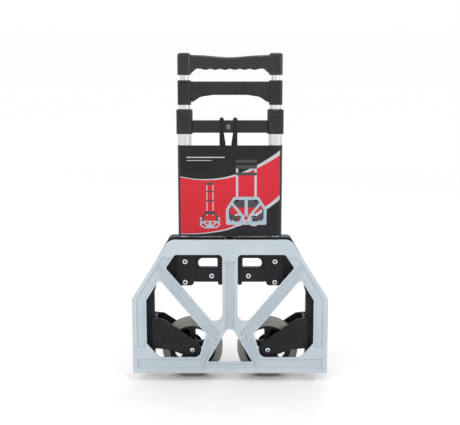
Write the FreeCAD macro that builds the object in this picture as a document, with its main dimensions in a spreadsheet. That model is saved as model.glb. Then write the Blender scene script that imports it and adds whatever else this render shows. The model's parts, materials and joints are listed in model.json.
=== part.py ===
"""Folding hand truck: aluminium toe plate, swing-in wheels and a three-stage telescopic handle.

The truck is modelled folded flat and standing on its wheels. +X is to the right of someone who faces
the toe plate, +Y points away from that person, +Z is up, and the origin is on the floor under the
middle. Left-hand pieces are built first, and right-hand ones are their mirror images in the YZ plane.
"""
import FreeCAD, Part
import math
import os

from FreeCAD import Placement, Rotation, Vector
import Sketcher

doc = FreeCAD.newDocument("folding_hand_truck")


# ---------------------------------------------------------------- driving dimensions, in millimetres
DIMENSIONS = {
    # wheels and their swing arms
    "wheel_radius": 75.0,
    "wheel_x": 93.5,
    "tyre_half_width": 18.0,
    "rim_radius": 57.0,
    "rim_half_width": 15.0,
    "hub_half_width": 22.0,
    "hub_radius": 16.0,
    "bush_radius": 8.0,
    "axle_radius": 5.0,
    "arm_pivot_x": 198.0,
    "arm_inner_y": 25.0,
    "arm_outer_y": 29.0,
    "arm_low": 79.0,
    "arm_high": 157.0,
    "barrel_radius": 10.5,
    "pivot_pin_radius": 5.0,
    # side legs
    "leg_outer_x": 213.0,
    "leg_inner_x": 188.0,
    "leg_front_y": 14.0,
    "leg_back_y": 10.5,
    "leg_low": 28.0,
    "leg_high": 266.0,
    "leg_cut_low": 76.0,
    "leg_cut_high": 160.0,
    # toe plate and its hinge
    "toe_half_width": 240.0,
    "toe_low": 19.5,
    "toe_high": 356.0,
    "toe_front_y": 44.0,
    "toe_load_y": 37.5,
    "toe_floor_y": 41.2,
    "ear_outer_x": 219.0,
    "ear_inner_x": 214.5,
    "hinge_z": 44.0,
    # base bracket
    "bracket_half_depth": 19.0,
    "panel_y": 22.0,
    "bracket_low": 246.6,
    "bracket_high": 358.0,
    # telescopic tubes
    "tube_x": 109.0,
    "outer_tube_radius": 17.0,
    "outer_tube_bore": 15.2,
    "middle_tube_radius": 14.0,
    "middle_tube_bore": 12.3,
    "inner_tube_radius": 11.0,
    "inner_tube_bore": 9.4,
    "outer_tube_low": 241.0,
    "outer_tube_high": 655.0,
    "middle_tube_low": 262.0,
    "middle_tube_high": 728.0,
    "inner_tube_low": 280.0,
    "inner_tube_high": 791.0,
    "bush_length": 25.0,
    # crossbars and handle
    "low_collar_low": 609.0,
    "low_collar_high": 668.0,
    "bar_low": 611.5,
    "bar_high": 641.0,
    "bar_half_depth": 10.0,
    "high_collar_low": 678.0,
    "high_collar_high": 736.0,
    "handle_low": 748.0,
    "handle_high": 800.0,
    # bungee cord and card sleeve
    "hook_left_x": 20.0,
    "hook_right_x": 12.5,
    "hook_foot_width": 14.6,
    "hook_top_width": 10.4,
    "hook_thick": 6.4,
    "cord_radius": 4.0,
    "cord_y": 11.5,
    "cord_bend": 11.0,
    "anchor_z": 262.0,
    "sleeve_low": 361.0,
    "sleeve_high": 582.0,
    "sleeve_thick": 0.6,
    # running clearance of turning and sliding fits
    "play": 0.05,
}

sheet = doc.addObject("Spreadsheet::Sheet", "dims")
for row, (alias, number) in enumerate(DIMENSIONS.items(), start=1):
    sheet.set("A%d" % row, alias)
    sheet.set("B%d" % row, str(number))
    sheet.setAlias("B%d" % row, alias)
doc.recompute()


class Size:
    """A number together with the spreadsheet expression that gives it."""

    def __init__(self, value, text):
        self.value = value
        self.text = text

    def __add__(self, other):
        other = as_size(other)
        return Size(self.value + other.value, "(%s + %s)" % (self.text, other.text))

    def __sub__(self, other):
        other = as_size(other)
        return Size(self.value - other.value, "(%s - %s)" % (self.text, other.text))

    def __mul__(self, factor):
        factor = as_size(factor)
        return Size(self.value * factor.value, "(%s * %s)" % (self.text, factor.text))

    def __radd__(self, other):
        return as_size(other) + self

    def __rsub__(self, other):
        return as_size(other) - self

    def __rmul__(self, other):
        return as_size(other) * self

    def __neg__(self):
        return Size(-self.value, "(0 - %s)" % self.text)


def as_size(x):
    """x itself if it is a Size, else a plain number as a Size."""
    return x if isinstance(x, Size) else Size(float(x), "(%.6f)" % x)


class Dims:
    """The sheet's cells as attributes, each a Size."""

    def __getattr__(self, alias):
        return Size(float(sheet.get(alias)), "dims." + alias)


d = Dims()


def bind(obj, path, size):
    """Gives a property of obj the value of size, through an expression if size comes from the sheet."""
    size = as_size(size)
    if "dims." in size.text:
        obj.setExpression(path, size.text)
    else:
        obj.setExpression(path, "%.6f" % size.value)


# ---------------------------------------------------------------- sketches
def circle(x, y, radius):
    """A round loop of a sketch."""
    return ("circle", x, y, radius)


def outline(*corners):
    """A loop of straight lines: each corner is (x, y) or (x, y, rounding radius)."""
    return ("outline", [tuple(c) + (0,) * (3 - len(c)) for c in corners])


def box(x0, y0, x1, y1, radius=0):
    """A rectangular loop, with all four corners rounded alike."""
    return outline((x0, y0, radius), (x1, y0, radius), (x1, y1, radius), (x0, y1, radius))


def place_point(sketch, geo, pos, x, y):
    """Ties a sketch point to sheet values, measured from the sketch's origin."""
    for kind, size in (("DistanceX", x), ("DistanceY", y)):
        size = as_size(size)
        index = sketch.addConstraint(Sketcher.Constraint(kind, -1, 1, geo, pos, size.value))
        bind(sketch, "Constraints[%d]" % index, size)


def draw_circle(sketch, x, y, radius):
    x, y, radius = as_size(x), as_size(y), as_size(radius)
    geo = sketch.addGeometry(Part.Circle(Vector(x.value, y.value, 0), Vector(0, 0, 1), radius.value))
    place_point(sketch, geo, 3, x, y)
    index = sketch.addConstraint(Sketcher.Constraint("Radius", geo, radius.value))
    bind(sketch, "Constraints[%d]" % index, radius)


def corner_arc(before, corner, after, radius):
    """(first tangent point, last tangent point, centre, turns left) of the arc that rounds a corner."""
    to_before = (before - corner).normalize()
    to_after = (after - corner).normalize()
    half = to_before.getAngle(to_after) / 2
    reach = radius / math.tan(half)
    middle = (to_before + to_after).normalize()
    centre = corner + middle * (radius / math.sin(half))
    turns_left = to_before.cross(to_after).z < 0
    return corner + to_before * reach, corner + to_after * reach, centre, turns_left


def draw_outline(sketch, corners):
    sizes = [[as_size(value) for value in corner] for corner in corners]
    points = [Vector(x.value, y.value, 0) for x, y, _ in sizes]
    count = len(points)
    arcs = {}
    for i, (_, _, radius) in enumerate(sizes):
        if radius.value > 0:
            arcs[i] = corner_arc(points[i - 1], points[i], points[(i + 1) % count], radius.value)
    lines = []
    for i in range(count):
        j = (i + 1) % count
        start = arcs[i][1] if i in arcs else points[i]
        end = arcs[j][0] if j in arcs else points[j]
        lines.append(sketch.addGeometry(Part.LineSegment(start, end)))
    for i, (x, y, radius) in enumerate(sizes):
        line_in, line_out = lines[i - 1], lines[i]
        if i not in arcs:
            sketch.addConstraint(Sketcher.Constraint("Coincident", line_in, 2, line_out, 1))
            place_point(sketch, line_out, 1, x, y)
            continue
        first, last, centre, turns_left = arcs[i]
        start, end = (first, last) if turns_left else (last, first)
        low = math.atan2(start.y - centre.y, start.x - centre.x)
        high = math.atan2(end.y - centre.y, end.x - centre.x)
        ring = Part.Circle(centre, Vector(0, 0, 1), radius.value)
        arc = sketch.addGeometry(Part.ArcOfCircle(ring, low, high))
        start_line, end_line = (line_in, line_out) if turns_left else (line_out, line_in)
        start_pos, end_pos = (2, 1) if turns_left else (1, 2)
        sketch.addConstraint(Sketcher.Constraint("Tangent", start_line, start_pos, arc, 1))
        sketch.addConstraint(Sketcher.Constraint("Tangent", end_line, end_pos, arc, 2))
        index = sketch.addConstraint(Sketcher.Constraint("Radius", arc, radius.value))
        bind(sketch, "Constraints[%d]" % index, radius)
        corner = sketch.addGeometry(Part.Point(points[i]), True)
        sketch.addConstraint(Sketcher.Constraint("PointOnObject", corner, 1, line_in))
        sketch.addConstraint(Sketcher.Constraint("PointOnObject", corner, 1, line_out))
        place_point(sketch, corner, 1, x, y)


def draw(sketch, loops):
    """Draws the loops in the sketch, fully constrained."""
    for loop in loops:
        if loop[0] == "circle":
            draw_circle(sketch, *loop[1:])
        else:
            draw_outline(sketch, loop[1])


# ---------------------------------------------------------------- PartDesign bodies
class Body:
    """A PartDesign body made of pads and pockets. Planes are XY, XZ or YZ; low and high are the
    feature's two ends along the plane's own world axis, which is Z, Y or X."""

    # how far along its normal a sketch plane's world coordinate counts: XZ faces -Y
    SIGN = {"XY": 1, "XZ": -1, "YZ": 1}

    def __init__(self, label):
        self.body = doc.addObject("PartDesign::Body", label)
        self.body.Label = label

    def sketch(self, plane, at, loops):
        sketch = self.body.newObject("Sketcher::SketchObject", self.body.Name + "_sketch")
        support = [f for f in self.body.Origin.OriginFeatures if f.Role == plane + "_Plane"][0]
        sketch.AttachmentSupport = [(support, "")]
        sketch.MapMode = "FlatFace"
        bind(sketch, "AttachmentOffset.Base.z", self.SIGN[plane] * as_size(at))
        draw(sketch, loops)
        return sketch

    def feature(self, kind, sketch, length):
        feature = self.body.newObject("PartDesign::" + kind, self.body.Name + "_" + kind.lower())
        feature.Profile = sketch
        bind(feature, "Length", length)
        return feature

    def pad(self, plane, low, high, *loops):
        low, high = as_size(low), as_size(high)
        start = low if self.SIGN[plane] > 0 else high
        self.feature("Pad", self.sketch(plane, start, loops), high - low)
        return self

    def pocket(self, plane, low, high, *loops):
        low, high = as_size(low), as_size(high)
        start = high if self.SIGN[plane] > 0 else low
        self.feature("Pocket", self.sketch(plane, start, loops), high - low)
        return self

    def turn(self, *loops):
        """Revolves loops drawn in the YZ plane, (y, radius), about the body's own Y axis."""
        sketch = self.sketch("YZ", 0, loops)
        feature = self.body.newObject("PartDesign::Revolution", self.body.Name + "_turn")
        feature.Profile = sketch
        feature.ReferenceAxis = (sketch, ["H_Axis"])
        feature.Angle = 360
        return self

    def round_edges(self, radius, chosen, kind="Fillet"):
        """Fillets or chamfers the edges of the body so far for which chosen(edge) is true."""
        doc.recompute()
        base = self.body.Tip
        names = ["Edge%d" % i for i, e in enumerate(base.Shape.Edges, start=1) if chosen(e)]
        feature = self.body.newObject("PartDesign::" + kind, self.body.Name + "_" + kind.lower())
        feature.Base = (base, names)
        bind(feature, "Radius" if kind == "Fillet" else "Size", radius)
        return self

    def place(self, x=0, y=0, z=0):
        for axis, value in (("x", x), ("y", y), ("z", z)):
            bind(self.body, "Placement.Base." + axis, value)
        return self


# ---------------------------------------------------------------- Part primitives
TURN = {"X": Rotation(Vector(0, 1, 0), 90), "Y": Rotation(Vector(1, 0, 0), -90), "Z": Rotation()}


def cylinder(name, axis, x, y, z, radius, length):
    """A Part::Cylinder that starts at (x, y, z) and runs along +axis."""
    made = doc.addObject("Part::Cylinder", name)
    made.Placement = Placement(Vector(), TURN[axis])
    for part, value in (("x", x), ("y", y), ("z", z)):
        bind(made, "Placement.Base." + part, value)
    bind(made, "Radius", radius)
    bind(made, "Height", length)
    return made


def fuse(name, *shapes):
    made = doc.addObject("Part::MultiFuse", name)
    made.Shapes = list(shapes)
    made.Refine = True
    return made


def cut(name, base, tool):
    made = doc.addObject("Part::Cut", name)
    made.Base = base
    made.Tool = tool
    made.Refine = True
    return made


def group(name, *shapes):
    """Several like pieces that share one node, each still its own solid."""
    made = doc.addObject("Part::Compound", name)
    made.Links = list(shapes)
    return made


def mirrored(name, source):
    """The mirror image of source in the YZ plane."""
    made = doc.addObject("Part::Mirroring", name)
    made.Source = source
    made.Normal = Vector(1, 0, 0)
    return made


def turned(name, axis, x, y, z, *steps):
    """A round piece along +axis: cylinders end to end, each (radius, length)."""
    pieces = []
    reach = as_size(0)
    for i, (radius, length) in enumerate(steps):
        start = {"X": (x + reach, y, z), "Y": (x, y + reach, z), "Z": (x, y, z + reach)}[axis]
        pieces.append(cylinder("%s_step%d" % (name, i), axis, *start, radius, length))
        reach = reach + length
    return pieces[0] if len(pieces) == 1 else fuse(name, *pieces)


NODES = {}


def node(label, made):
    """Hands a finished piece in as a node of the model."""
    made = made.body if isinstance(made, Body) else made
    made.Label = label
    NODES[label] = made
    return made


def pair(label, made):
    """A left-hand piece and its mirror image, as left_label and right_label."""
    left = node("left_" + label, made)
    node("right_" + label, mirrored("right_" + label, left))


def both(*loops):
    """The loops together with their mirror images across the middle line."""
    made = []
    for loop in loops:
        if loop[0] == "circle":
            made += [loop, ("circle", -as_size(loop[1]), loop[2], loop[3])]
        else:
            made += [loop, ("outline", [(-as_size(x), y, r) for x, y, r in reversed(loop[1])])]
    return made


# ---------------------------------------------------------------- wheels
def tyre():
    """Solid tyre with two tread grooves and sloping shoulders, on the rim's seat."""
    half, top, seat = d.tyre_half_width, d.wheel_radius, d.rim_radius
    groove = [(-7, top), (-7, top - 1.5), (-5, top - 1.5), (-5, top)]
    tread = [(4.5 - half, top)] + groove + [(-y, r) for y, r in reversed(groove)] + [(half - 4.5, top)]
    flank = [(half, top - 6), (half, seat + 1.5), (half - 1.5, seat)]
    flank_back = [(1.5 - half, seat), (-half, seat + 1.5), (-half, top - 6)]
    made = Body("left_tyre").turn(outline(*(tread + flank + flank_back)))
    return made.place(-d.wheel_x, 0, d.wheel_radius)


def rim():
    """Moulded rim: a channel under the tyre, a hub, and five forked spokes between them."""
    seat, half, hub, hub_half = d.rim_radius, d.rim_half_width, d.hub_radius, d.hub_half_width
    made = Body("left_rim")
    made.turn(outline((-half, seat), (half, seat), (half, seat - 4), (4, seat - 7), (4, hub),
                      (hub_half, hub - 2), (hub_half, d.bush_radius), (-hub_half, d.bush_radius),
                      (-hub_half, hub - 2), (-4, hub), (-4, seat - 7), (-half, seat - 4)))
    openings = []
    spokes = 5
    for i in range(spokes):
        middle = 90 + 360 * (i + 0.5) / spokes
        corners = []
        for radius, swing in ((20.5, 15), (47.5, 27), (48.5, 9), (48.5, -9), (47.5, -27), (20.5, -15)):
            angle = math.radians(middle + swing)
            corners.append((radius * math.cos(angle), radius * math.sin(angle), 2.5 if abs(swing) > 9 else 0))
        openings.append(outline(*reversed(corners)))
    made.pocket("XZ", -5, 5, *openings)
    return made.place(-d.wheel_x, 0, d.wheel_radius)


def wheel_parts():
    pair("tyre", tyre())
    pair("rim", rim())
    half = d.hub_half_width
    bush = Body("left_wheel_bush").pad("XZ", -half, half, circle(0, 0, d.bush_radius),
                                       circle(0, 0, d.axle_radius + d.play))
    pair("wheel_bush", bush.place(-d.wheel_x, 0, d.wheel_radius))


def axle_parts():
    """Axle bolt with a button head in front, its spacers beside the hub, and a cap nut behind."""
    x, z, outer, inner = -d.wheel_x, d.wheel_radius, d.arm_outer_y, d.arm_inner_y
    radius = d.axle_radius
    washer = 2.0
    bolt = Body("left_axle").turn(outline(
        (-outer - 4, 0), (-outer - 4, 3), (-outer - 2.8, 6), (-outer, 7.5), (-outer, radius),
        (outer + washer + 8, radius), (outer + washer + 8, 0)))
    bolt.pocket("XZ", -outer - 5, -outer - 2, circle(0, 0, 2.4))
    pair("axle", bolt.place(x, 0, z))
    spacer_gap = 0.2
    rings = []
    for name, low, high in (("front", -inner, -d.hub_half_width - spacer_gap),
                            ("back", d.hub_half_width + spacer_gap, inner),
                            ("nut", outer, outer + washer)):
        ring = Body("left_axle_ring_" + name)
        ring.pad("XZ", low, high, circle(0, 0, 9.0), circle(0, 0, radius))
        rings.append(ring.place(x, 0, z).body)
    pair("axle_spacers", group("left_axle_rings", *rings))
    nut_start, nut_end = outer + washer, d.toe_front_y
    across_corners = 9.2
    hexagon = [(across_corners * math.cos(math.radians(a)), across_corners * math.sin(math.radians(a)))
               for a in range(0, 360, 60)]
    nut = Body("left_axle_nut").pad("XZ", nut_start, nut_start + 7, outline(*hexagon))
    nut.pad("XZ", nut_start + 6, nut_end, circle(0, 0, 7.2))
    nut.round_edges(3.0, lambda e: e.BoundBox.YMin > float(nut_end.value) - 0.01)
    nut.pocket("XZ", nut_start - 1, nut_start + 8, circle(0, 0, radius))
    pair("axle_nut", nut.place(x, 0, z))


# ---------------------------------------------------------------- swing arms
def wheel_fork():
    """Fork that carries a wheel: two side plates joined by an end wall, and a barrel on the pivot pin."""
    pivot_x, axle_x, axle_z = -d.arm_pivot_x, -d.wheel_x, d.wheel_radius
    outer, inner, low, high = d.arm_outer_y, d.arm_inner_y, d.arm_low, d.arm_high
    plate_end, wall_near, wall_far = pivot_x + 6, pivot_x + 12.5, pivot_x + 17
    side = outline((plate_end, low), (pivot_x + 45, low - 3, 15), (axle_x - 8, axle_z - 18),
                   (axle_x + 13, axle_z + 18.4), (pivot_x + 55.5, high - 18.5, 25),
                   (pivot_x + 32, high - 3, 15), (plate_end, high, 3))
    made = Body("left_wheel_fork")
    made.pad("XZ", -outer, outer, side)
    made.pad("XZ", -outer, outer, circle(axle_x, axle_z, 22.5))
    gap = outline((wall_far, low - 40, 0), (axle_x + 40, low - 40), (axle_x + 40, high + 5),
                  (wall_far, high + 5))
    made.pocket("XZ", -inner, inner, gap)
    made.pocket("XZ", -inner, inner, box(pivot_x, low - 5, wall_near, high + 5))
    made.pad("XY", low, high, circle(pivot_x, 0, d.barrel_radius))
    made.pad("XY", low, high, box(pivot_x + 6, -8, wall_near + 1, 8))
    made.pocket("XY", low - 1, high + 1, circle(pivot_x, 0, d.pivot_pin_radius + d.play))
    made.pocket("XZ", -outer - 1, outer + 1, circle(axle_x, axle_z, d.axle_radius))
    panel = outline((pivot_x + 24, low + 9, 4), (pivot_x + 50, low + 7, 8), (axle_x - 28, axle_z + 3, 3),
                    (axle_x - 17, axle_z + 23.5, 5), (pivot_x + 49, high - 26.5, 12),
                    (pivot_x + 24, high - 28, 3))
    made.pocket("XZ", -outer - 1, -outer + 1.2, panel)
    made.pocket("XZ", outer - 1.2, outer + 1, panel)
    return made


def arm_parts():
    pair("wheel_fork", wheel_fork())
    pivot_x, pin = -d.arm_pivot_x, d.pivot_pin_radius
    low, high = d.leg_cut_low, d.leg_cut_high
    pair("pivot_pin", Body("left_pivot_pin").pad("XY", low - 20, high + 20, circle(pivot_x, 0, pin)))
    rings = []
    gap = 0.2
    for name, start, end in (("low", low, d.arm_low - gap), ("high", d.arm_high + gap, high)):
        ring = Body("left_pivot_ring_" + name)
        ring.pad("XY", start, end, circle(pivot_x, 0, 9.5), circle(pivot_x, 0, pin))
        rings.append(ring.body)
    pair("pivot_washers", group("left_pivot_rings", *rings))


# ---------------------------------------------------------------- side legs
def side_leg():
    """Leg from the bracket's shoulder to the toe hinge, opened to an L where the fork's barrel turns."""
    outer, inner, front, back = -d.leg_outer_x, -d.leg_inner_x, -d.leg_front_y, d.leg_back_y
    wall = 3.0
    made = Body("left_side_leg")
    made.pad("XZ", front, back, outline((outer, d.leg_low, 3), (inner, d.leg_low, 3), (inner, d.leg_high),
                                        (inner - 6, d.leg_high), (outer, d.leg_high - 30)))
    made.pocket("XY", d.leg_cut_low, d.leg_cut_high, box(outer + wall + 1, front + wall, inner + 1, back + 1))
    made.pocket("XY", d.leg_cut_high + 20, d.leg_high + 1,
                box(outer + wall, front + wall, inner - wall, back - wall, 1.0))
    made.pocket("XY", d.leg_cut_low - 20, d.leg_cut_high + 21,
                circle(-d.arm_pivot_x, 0, d.pivot_pin_radius))
    made.pocket("YZ", outer - 1, inner + 1, circle(0, d.hinge_z, d.axle_radius))
    return made


def leg_parts():
    pair("side_leg", side_leg())
    head, shank = (8.0, 3.0), (d.axle_radius, d.ear_outer_x - d.leg_inner_x + 0.2)
    pin = turned("left_hinge_pin_shape", "X", -d.ear_outer_x - 3.2, 0, d.hinge_z, head, shank, (6.5, 2.0))
    pair("hinge_pin", pin)
    washer = Body("left_hinge_washer")
    washer.pad("YZ", -d.ear_inner_x + 0.2, -d.leg_outer_x, circle(0, d.hinge_z, 12),
               circle(0, d.hinge_z, d.axle_radius))
    pair("hinge_washer", washer)


# ---------------------------------------------------------------- base bracket
# x, z, the face under the head, where the bore ends and where the tip ends, the last three as y
SCREWS = ((d.tube_x + 1, 298.0, d.panel_y, -15.3, -15.6), (d.tube_x + 1, 246.0, d.panel_y, -15.3, -15.6),
          (45.0, 262.0, d.panel_y - 1, 0, -2))


def base_bracket():
    """Cross-member that clamps the outer tubes, carries the legs and guides the bungee cord."""
    depth, panel, low, high = d.bracket_half_depth, d.panel_y, d.bracket_low, d.bracket_high
    tube, leg_out, leg_in = d.tube_x, d.leg_outer_x, d.leg_inner_x
    made = Body("base_bracket")
    # the block, with a shoulder at each end that comes down over a side leg
    made.pad("XZ", -depth, depth, outline(
        (-147, high, 12), (-leg_out - 3, low - 8, 6), (-leg_out - 3, low - 22), (3 - leg_in, low - 22),
        (5 - leg_in, low, 8), (leg_in - 5, low, 8), (leg_in - 3, low - 22), (leg_out + 3, low - 22),
        (leg_out + 3, low - 8, 6), (147, high, 12)))
    # raised in front: the clamps round the tubes, the pads between them and the middle flanges
    clamp = outline((-129, low - 4), (-124, low - 9), (-94, low - 9), (-89, low - 4), (-89, high - 8),
                    (-129, high - 8))
    made.pad("XZ", -panel, depth, *both(clamp))
    pad = outline((-84, low), (-25, low), (-25, 276), (-84, 276, 3))
    made.pad("XZ", 1 - panel, 1 - depth, *both(pad))
    flange = outline((-29.6, 239, 5), (-18, 239, 5), (-18, 312), (-29.6, 312))
    made.pad("XZ", -panel, -5, *both(flange))
    # sunk in front: the panels that hold the slots, the shoulders, and the channel for the cord
    made.pocket("XZ", -depth - 0.5, 4 - depth, *both(box(-85.5, 278.5, -32, 346, 4)))
    made.pocket("XZ", -depth - 0.5, 7 - depth, *both(outline(
        (-178, 256, 4), (-131, 256, 4), (-131, 345, 4), (-149, 345, 6), (-182, 292, 8))))
    made.pocket("XZ", -panel, panel, *both(outline(
        (-78, 281.5, 11.2), (-31, 281.5, 1.5), (-31, 305, 1.5), (-78, 305, 11.2))))
    made.pocket("XZ", -panel - 1, -7, box(-17.5, low - 10, 17.5, high + 1))
    # hollowed out behind, leaving ribs
    made.pocket("XZ", -11, depth + 1, *both(
        box(-84, 318, -57, 350, 4), box(-52, 318, -23, 350, 4), box(-84, 277, -23, 312, 4),
        box(-84, 254, -57, 272, 4), box(-35, 254, -23, 272, 4)))
    made.pocket("XZ", 3, depth + 1, box(-17, 277, 17, 312, 4), box(-17, 318, 17, 350, 4))
    made.pocket("XZ", -7, depth + 1, *both(
        outline((-152, 290, 4), (-134, 290, 4), (-134, 343, 4), (-147, 343, 6), (-152, 335, 4)),
        outline((-157, 290, 4), (-157, 326, 4), (-180, 290, 6)),
        outline((-180, 285, 4), (-157, 285, 4), (-157, 254, 4), (-180, 254, 4)),
        box(-152, 254, -134, 285, 4)))
    # bored for the tubes, the legs, the screws and the anchor stud
    made.pocket("XY", d.outer_tube_low, high + 1, *both(circle(-tube, 0, d.outer_tube_radius)))
    made.pocket("XY", low - 12, d.outer_tube_low + 1, *both(circle(-tube, 0, 12)))
    made.pocket("XZ", -d.leg_front_y, d.leg_back_y, *both(outline(
        (-leg_out, low - 30), (-leg_in, low - 30), (-leg_in, d.leg_high), (-leg_in - 6, d.leg_high),
        (-leg_out, d.leg_high - 30))))
    for x, z, face, bore_end, _ in SCREWS:
        made.pocket("XZ", -face - 1, bore_end, *both(circle(-x, z, 2.5)))
    made.pocket("XZ", -9, 0, circle(0, d.anchor_z, 3))
    return made


def bracket_parts():
    node("base_bracket", base_bracket())
    screws = []
    for i, (x, z, face, _, tip) in enumerate(SCREWS):
        screw = Body("left_screw_%d" % i)
        screw.pad("XZ", -face, tip, circle(-x, z, 2.5))
        screw.pad("XZ", -face - 3.2, -face, circle(-x, z, 6.3))
        screw.round_edges(1.2, lambda e, y=float((face + 3.2).value): e.BoundBox.YMax < -y + 0.01)
        screw.pocket("XZ", -face - 4, -face - 0.8, outline(*[
            (-x + 3.2 * math.cos(math.radians(a)), z + 3.2 * math.sin(math.radians(a)))
            for a in range(0, 360, 60)]))
        screws.append(screw.body)
    pair("bracket_screws", group("left_screws", *screws))
    # the stud's neck leaves the cord bend_radius - cord_radius of room
    anchor = Body("cord_anchor").turn(outline((-19.5, 0), (-19.5, 6), (-18.5, 10.5), (-17, 10.5),
                                              (-16.8, 6.8), (-7, 6.8), (-7, 3), (-0.5, 3), (-0.5, 0)))
    node("cord_anchor", anchor.place(0, 0, d.anchor_z))


# ---------------------------------------------------------------- telescopic tubes
def tube(name, low, high, radius, bore):
    """A tube or ring on the line of the left-hand tubes."""
    made = Body(name)
    return made.pad("XY", low, high, circle(-d.tube_x, 0, radius), circle(-d.tube_x, 0, bore))


def flanged_ring(name, top, lip, radius, flange, bore):
    """A guide bush hung inside a tube's mouth, its flange of thickness lip resting on the tube's end."""
    made = Body(name)
    made.pad("XY", top - d.bush_length, top, circle(-d.tube_x, 0, radius), circle(-d.tube_x, 0, bore))
    return made.pad("XY", top, top + lip, circle(-d.tube_x, 0, flange), circle(-d.tube_x, 0, bore))


def tube_parts():
    play = d.play
    outer = tube("left_outer_tube", d.outer_tube_low, d.outer_tube_high, d.outer_tube_radius,
                 d.outer_tube_bore)
    for x, z, *_ in SCREWS[:2]:
        outer.pocket("XZ", -18, -10, circle(-x, z, 2.5))
    pair("outer_tube", outer)
    pair("middle_tube", tube("left_middle_tube", d.middle_tube_low, d.middle_tube_high,
                             d.middle_tube_radius, d.middle_tube_bore))
    pair("inner_tube", tube("left_inner_tube", d.inner_tube_low, d.inner_tube_high,
                            d.inner_tube_radius, d.inner_tube_bore))
    pair("outer_top_bush", flanged_ring("left_outer_top_bush", d.outer_tube_high, 2, d.outer_tube_bore,
                                        d.outer_tube_radius, d.middle_tube_radius + play))
    pair("middle_top_bush", flanged_ring("left_middle_top_bush", d.middle_tube_high, 2, d.middle_tube_bore,
                                         d.middle_tube_radius, d.inner_tube_radius + play))
    length = d.bush_length
    pair("middle_foot_bush", tube("left_middle_foot_bush", d.middle_tube_low, d.middle_tube_low + length,
                                  d.outer_tube_bore - play, d.middle_tube_radius))
    pair("inner_foot_bush", tube("left_inner_foot_bush", d.inner_tube_low, d.inner_tube_low + length,
                                 d.middle_tube_bore - play, d.inner_tube_radius))


# ---------------------------------------------------------------- crossbars and handle
def collar(made, low, high, half, corner=9):
    """Adds a pair of collars round the tube positions."""
    x = -d.tube_x
    for side in (1, -1):
        centre = side * x
        made.pad("XY", low, high, box(centre - half, -half, centre + half, half, corner))


def low_crossbar():
    """Fixed crossbar on top of the outer tubes, with rounded collars."""
    low, high, bar_low, bar_high = d.low_collar_low, d.low_collar_high, d.bar_low, d.bar_high
    half = 19.5
    made = Body("low_crossbar")
    made.pad("XZ", -d.bar_half_depth, d.bar_half_depth, box(-d.tube_x, bar_low, d.tube_x, bar_high))
    collar(made, low, high, half)
    made.round_edges(4.5, lambda e: e.BoundBox.ZMin > float(high.value) - 0.01)
    made.pocket("XY", low - 1, d.outer_tube_high + 2, *both(circle(-d.tube_x, 0, d.outer_tube_radius)))
    made.pocket("XY", low - 1, high + 1, *both(circle(-d.tube_x, 0, d.middle_tube_radius + 0.4)))
    made.pocket("XZ", -half - 1, 0.8 - half, *both(box(-d.tube_x - 13, low + 8, 13 - d.tube_x, high - 10, 4)))
    return made


def high_crossbar():
    """Moving crossbar of the middle stage: a web with an arched lower edge between two collars."""
    low, high = d.high_collar_low, d.high_collar_high
    half = 16.0
    made = Body("high_crossbar")
    made.pad("XZ", -8, 8, outline(
        (-d.tube_x, high - 3), (-d.tube_x, low + 6), (-88, low + 7, 8), (-70, low + 19, 30),
        (-40, low + 23.3, 40), (40, low + 23.3, 40), (70, low + 19, 30), (88, low + 7, 8),
        (d.tube_x, low + 6), (d.tube_x, high - 3)))
    made.pad("XZ", -11, 11, outline(
        (-d.tube_x, high - 6), (-d.tube_x, low + 18), (-84, low + 19, 8), (-62, low + 28, 30),
        (-30, low + 31, 60), (30, low + 31, 60), (62, low + 28, 30), (84, low + 19, 8),
        (d.tube_x, low + 18), (d.tube_x, high - 6)))
    collar(made, low, high, half, 8)
    made.round_edges(2.5, lambda e: e.BoundBox.ZMin > float(high.value) - 0.01)
    made.pocket("XY", low - 1, d.middle_tube_high + 2, *both(circle(-d.tube_x, 0, d.middle_tube_radius)))
    made.pocket("XY", low - 1, high + 1, *both(circle(-d.tube_x, 0, d.inner_tube_radius + 0.4)))
    return made


def handle():
    """Top handle: two sockets on the inner tubes and a grip with finger waves underneath."""
    low, high = d.handle_low, d.handle_high
    half = 16.0
    top = [(-d.tube_x, high - 4), (-60, high - 6, 60), (0, high - 11, 250), (60, high - 6, 60),
           (d.tube_x, high - 4)]
    under = [(d.tube_x, low + 4), (92, low + 4), (80, low + 15, 8)]
    waves = 6
    pitch = 140.0 / waves
    for i in range(waves):
        x = 70 - pitch * i
        under += [(x, low + 14.5, 8), (x - pitch / 2, low + 11.5, 8)]
    under += [(-70, low + 14.5, 8), (-80, low + 15, 8), (-92, low + 4), (-d.tube_x, low + 4)]
    made = Body("handle")
    made.pad("XZ", -12, 12, outline(*(under + top)[::-1]))
    made.round_edges(6.0, lambda e: e.BoundBox.YLength < 0.01 and e.BoundBox.XLength > 0.01)
    collar(made, low, high, half, 8)
    made.round_edges(6.5, lambda e: e.BoundBox.ZMin > float(high.value) - 0.01)
    made.pocket("XY", low - 1, d.inner_tube_high, *both(circle(-d.tube_x, 0, d.inner_tube_radius)))
    return made


def crossbar_parts():
    node("low_crossbar", low_crossbar())
    node("high_crossbar", high_crossbar())
    node("handle", handle())


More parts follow.
